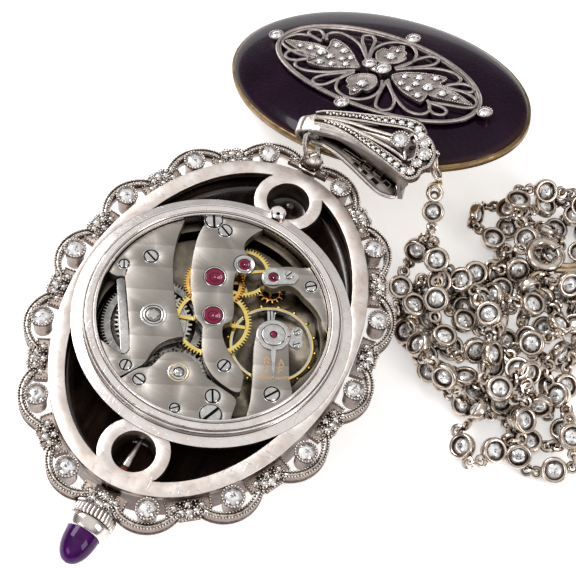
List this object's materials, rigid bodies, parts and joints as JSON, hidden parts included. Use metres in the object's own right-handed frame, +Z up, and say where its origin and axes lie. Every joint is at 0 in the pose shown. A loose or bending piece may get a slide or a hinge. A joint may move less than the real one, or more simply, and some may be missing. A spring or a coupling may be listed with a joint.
{
  "type": "pendant watch",
  "caption": "Oval diamond-bordered pendant watch lying face down with its movement open, loose domed enamel cover, bail, and long neck chain with spring-ring clasp.",
  "frame": {"origin": "centre of the flat outer face of the crystal, which rests on the table", "axes": "+Z up out of the open back, +Y towards the bail, +X completes the right hand"},
  "size_m": [0.0489, 0.0664, 0.0143],
  "materials": {
    "platinum": "soft matt white gold with fine scratches",
    "bridge_metal": "rhodium plate, broad stripes",
    "steel": "polished steel",
    "gilt": "gilt brass",
    "ruby": "polished synthetic ruby",
    "enamel_purple": "translucent enamel over engine turning",
    "amethyst": "polished cabochon",
    "diamond": "faceted stone",
    "dark_enamel": "dark counter-enamel",
    "dial_white": "silvered dial",
    "crystal_glass": "clear",
    "blued_steel": "blued",
    "chain_silver": "toned silver, dark in the recesses"
  },
  "bodies": {
    "case": {"case_rim": "platinum", "case_body": "platinum", "well_plate": "dark_enamel", "border_frame": "platinum", "border_collets": "platinum", "border_diamonds": "diamond", "pendant_knob": "platinum", "crown_tube": "platinum", "movement_ring": "platinum", "front_bezel": "platinum", "crystal": "crystal_glass", "dial": "dial_white", "main_plate": "bridge_metal", "barrel_bridge": "bridge_metal", "train_bridge": "bridge_metal", "crown_wheel_bridge": "bridge_metal", "balance_cock": "bridge_metal", "escape_cock": "bridge_metal", "case_screws": "steel", "bridge_screws": "steel", "jewels": "ruby", "end_caps": "steel", "chatons": "gilt", "hairspring_stud": "steel", "click_spring": "steel", "hairspring": "blued_steel", "wheel_studs": "steel", "drop_rings": "chain_silver", "drop_bezel": "chain_silver", "chain_strands": "chain_silver", "chain_heap": "chain_silver", "clasp_body": "chain_silver"},
    "escape_wheel": {"escape_wheel": "gilt"},
    "fourth_wheel": {"fourth_wheel": "gilt"},
    "third_wheel": {"third_wheel": "gilt"},
    "centre_wheel": {"centre_wheel": "gilt", "minute_hand": "blued_steel"},
    "hour_hand": {"hour_hand": "blued_steel"},
    "barrel": {"barrel": "gilt"},
    "ratchet": {"ratchet_wheel": "steel", "barrel_arbor": "steel"},
    "crown_wheel": {"crown_wheel": "steel"},
    "setting_wheel": {"setting_wheel": "steel"},
    "stem": {"winding_stem": "steel"},
    "crown": {"crown_shell": "platinum", "crown_cabochon": "amethyst"},
    "click": {"click": "steel"},
    "pallet_fork": {"pallet_fork": "steel"},
    "balance": {"balance_wheel": "gilt", "balance_screws": "gilt"},
    "regulator": {"regulator": "steel"},
    "bow": {"bow": "platinum"},
    "bail": {"bail_frame": "platinum", "bail_stones": "diamond", "bail_ring": "chain_silver"},
    "cover": {"cover_shell": "platinum", "cover_enamel": "enamel_purple", "cover_lattice": "platinum", "cover_stones": "diamond"},
    "clasp_bolt": {"clasp_bolt": "chain_silver"}
  },
  "joints": [
    {"name": "winding", "type": "hinge", "parent": "case", "child": "stem", "pos_m": [0, -0.014, 0.0061], "axis": [0, -1, 0], "continuous": true},
    {"name": "crown_pull", "type": "slide", "parent": "stem", "child": "crown", "axis": [0, -1, 0], "range_m": [0, 0.0008]},
    {"name": "crown_wheel_turn", "type": "hinge", "parent": "case", "child": "crown_wheel", "pos_m": [0.00007, -0.00623, 0.0072], "axis": [0, 0, 1], "continuous": true},
    {"name": "ratchet_turn", "type": "hinge", "parent": "case", "child": "ratchet", "pos_m": [-0.00442, -0.00253, 0.0072], "axis": [0, 0, 1], "continuous": true},
    {"name": "setting_wheel_turn", "type": "hinge", "parent": "case", "child": "setting_wheel", "pos_m": [0.0022, -0.0049, 0.0069], "axis": [0, 0, 1], "continuous": true},
    {"name": "fourth_turn", "type": "hinge", "parent": "case", "child": "fourth_wheel", "pos_m": [-0.00002, 0.00584, 0.0065], "axis": [0, 0, 1], "continuous": true},
    {"name": "third_turn", "type": "hinge", "parent": "case", "child": "third_wheel", "pos_m": [-0.00167, 0.00342, 0.007], "axis": [0, 0, 1], "continuous": true},
    {"name": "centre_turn", "type": "hinge", "parent": "case", "child": "centre_wheel", "pos_m": [0, 0, 0.0069], "axis": [0, 0, 1], "continuous": true},
    {"name": "hour_turn", "type": "hinge", "parent": "case", "child": "hour_hand", "pos_m": [0, 0, 0.0037], "axis": [0, 0, 1], "continuous": true},
    {"name": "barrel_turn", "type": "hinge", "parent": "case", "child": "barrel", "pos_m": [-0.00442, -0.00253, 0.0062], "axis": [0, 0, 1], "continuous": true},
    {"name": "escape_turn", "type": "hinge", "parent": "case", "child": "escape_wheel", "pos_m": [0.0028, 0.00591, 0.0061], "axis": [0, 0, 1], "continuous": true},
    {"name": "click_lift", "type": "hinge", "parent": "case", "child": "click", "pos_m": [-0.00805, 0.00135, 0.0072], "axis": [0, 0, -1], "range_deg": [0, 12], "stiffness_Nm_per_rad": 0.000001, "springref_deg": -11.46},
    {"name": "fork_rock", "type": "hinge", "parent": "case", "child": "pallet_fork", "pos_m": [0.00406, 0.00415, 0.00626], "axis": [0, 0, 1], "range_deg": [-5, 5]},
    {"name": "balance_swing", "type": "hinge", "parent": "case", "child": "balance", "pos_m": [0.0054, 0.00085, 0.0066], "axis": [0, 0, 1], "range_deg": [-270, 270], "stiffness_Nm_per_rad": 0.000000061},
    {"name": "regulator_turn", "type": "hinge", "parent": "case", "child": "regulator", "pos_m": [0.0054, 0.00085, 0.0085], "axis": [0, 0, 1], "range_deg": [-18, 18]},
    {"name": "bow_swing", "type": "hinge", "parent": "case", "child": "bow", "pos_m": [-0.00015, 0.01962, 0.00816], "axis": [-0.6094, -0.7929, 0], "range_deg": [0, 20]},
    {"name": "bail_swing", "type": "hinge", "parent": "bow", "child": "bail", "pos_m": [-0.00105, 0.02022, 0.01048], "axis": [0.2181, -0.975, -0.0422], "range_deg": [0, 40]},
    {"name": "cover_slide", "type": "slide", "parent": "case", "child": "cover", "axis": [0.27, 0.9629, 0], "range_m": [0, 0.03]},
    {"name": "clasp_trigger", "type": "hinge", "parent": "case", "child": "clasp_bolt", "pos_m": [0.023, 0.0237, 0.00395], "axis": [0, 0, 1], "range_deg": [0, 54], "stiffness_Nm_per_rad": 0.00001, "springref_deg": -28.65}
  ],
  "couplings": [
    {"joint": "crown_wheel_turn", "follows": "winding", "ratio": -0.33333},
    {"joint": "ratchet_turn", "follows": "winding", "ratio": 0.27273},
    {"joint": "setting_wheel_turn", "follows": "winding", "ratio": 0.85714},
    {"joint": "third_turn", "follows": "fourth_turn", "ratio": -0.13333},
    {"joint": "centre_turn", "follows": "fourth_turn", "ratio": 0.019048},
    {"joint": "hour_turn", "follows": "fourth_turn", "ratio": 0.0015873},
    {"joint": "barrel_turn", "follows": "fourth_turn", "ratio": -0.0021164},
    {"joint": "escape_turn", "follows": "fourth_turn", "ratio": -7}
  ]
}
